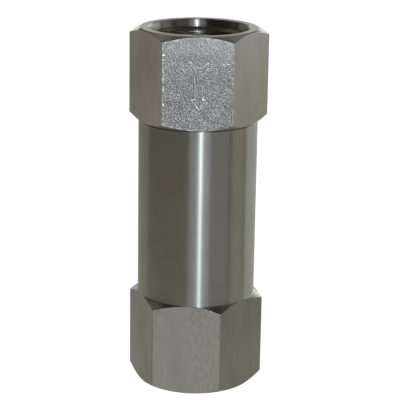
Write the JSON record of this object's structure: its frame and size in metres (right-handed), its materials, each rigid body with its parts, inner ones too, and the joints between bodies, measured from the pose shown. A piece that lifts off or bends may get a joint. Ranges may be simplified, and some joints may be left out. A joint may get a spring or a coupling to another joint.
{
  "type": "inline check valve",
  "caption": "Slim upright steel check valve with a threaded hexagon at each end, a round barrel and a sprung poppet inside.",
  "frame": {"origin": "middle of the outlet face, where the valve's axis meets the surface it stands on", "axes": "+Z along the valve's axis from outlet to inlet, against the flow; -Y out of the inlet hexagon's front flat"},
  "size_m": [0.0312, 0.0288, 0.0822],
  "materials": {
    "hexagon_steel": "satin stainless steel, drawn hexagon bar, one flat grainy",
    "turned_steel": "fine turned stainless steel",
    "ground_steel": "ground stainless steel",
    "spring_steel": "drawn stainless spring wire",
    "fluoro_rubber": "matte black fluoro rubber",
    "white_ptfe": "waxy white PTFE",
    "filled_ptfe": "bronze-filled PTFE"
  },
  "bodies": {
    "valve_body": {"inlet_cap": "hexagon_steel", "outlet_body": "turned_steel", "cap_o_ring": "fluoro_rubber", "cap_backup_ring": "white_ptfe", "seat_ring": "ground_steel", "seat_o_ring": "fluoro_rubber", "seat_backup_ring": "white_ptfe", "spring": "spring_steel", "spring_shim": "ground_steel", "guide_spider": "turned_steel", "guide_bush": "white_ptfe"},
    "poppet": {"poppet_disc": "ground_steel", "poppet_seal": "filled_ptfe", "seal_retainer": "ground_steel", "lock_washer": "spring_steel", "retainer_nut": "spring_steel", "guide_stem": "ground_steel", "stem_washer": "ground_steel", "stem_clip": "spring_steel", "spring_collar": "ground_steel"}
  },
  "joints": [
    {"name": "poppet_lift", "type": "slide", "parent": "valve_body", "child": "poppet", "axis": [0, 0, -1], "range_m": [0, 0.004], "stiffness_N_per_m": 1400, "springref_m": -0.0033, "deforming": ["spring"]}
  ]
}
